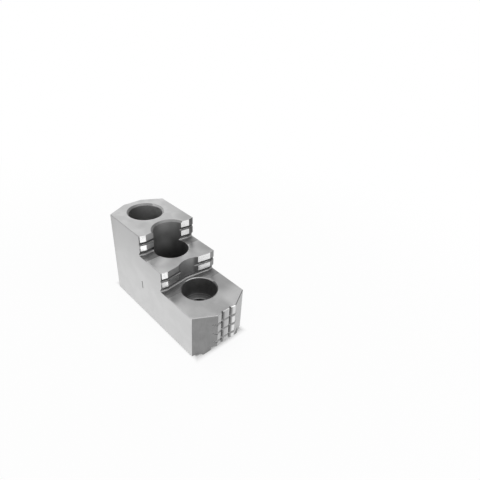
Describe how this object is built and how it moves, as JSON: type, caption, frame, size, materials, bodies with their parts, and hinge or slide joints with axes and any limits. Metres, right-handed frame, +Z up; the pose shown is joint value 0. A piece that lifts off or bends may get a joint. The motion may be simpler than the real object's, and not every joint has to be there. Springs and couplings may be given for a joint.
{
  "type": "hard chuck jaw",
  "caption": "Stepped hard top jaw for a power lathe chuck, with hollow toothed gripping walls, a toothed nose, counterbored screw holes, a key groove and a serrated base",
  "frame": {"origin": "under the middle of the jaw, on the plane of the serration crests it stands on", "axes": "+X along the jaw from the tail to the toothed nose, +Y across it, +Z up from the serrated base to the top step"},
  "size_m": [0.087, 0.035, 0.0515],
  "materials": {
    "hardened_steel": "ground, with unground machined surfaces in the grooves, floors' reliefs and holes"
  },
  "bodies": {
    "root": {"hard_jaw": "hardened_steel"}
  },
  "joints": []
}
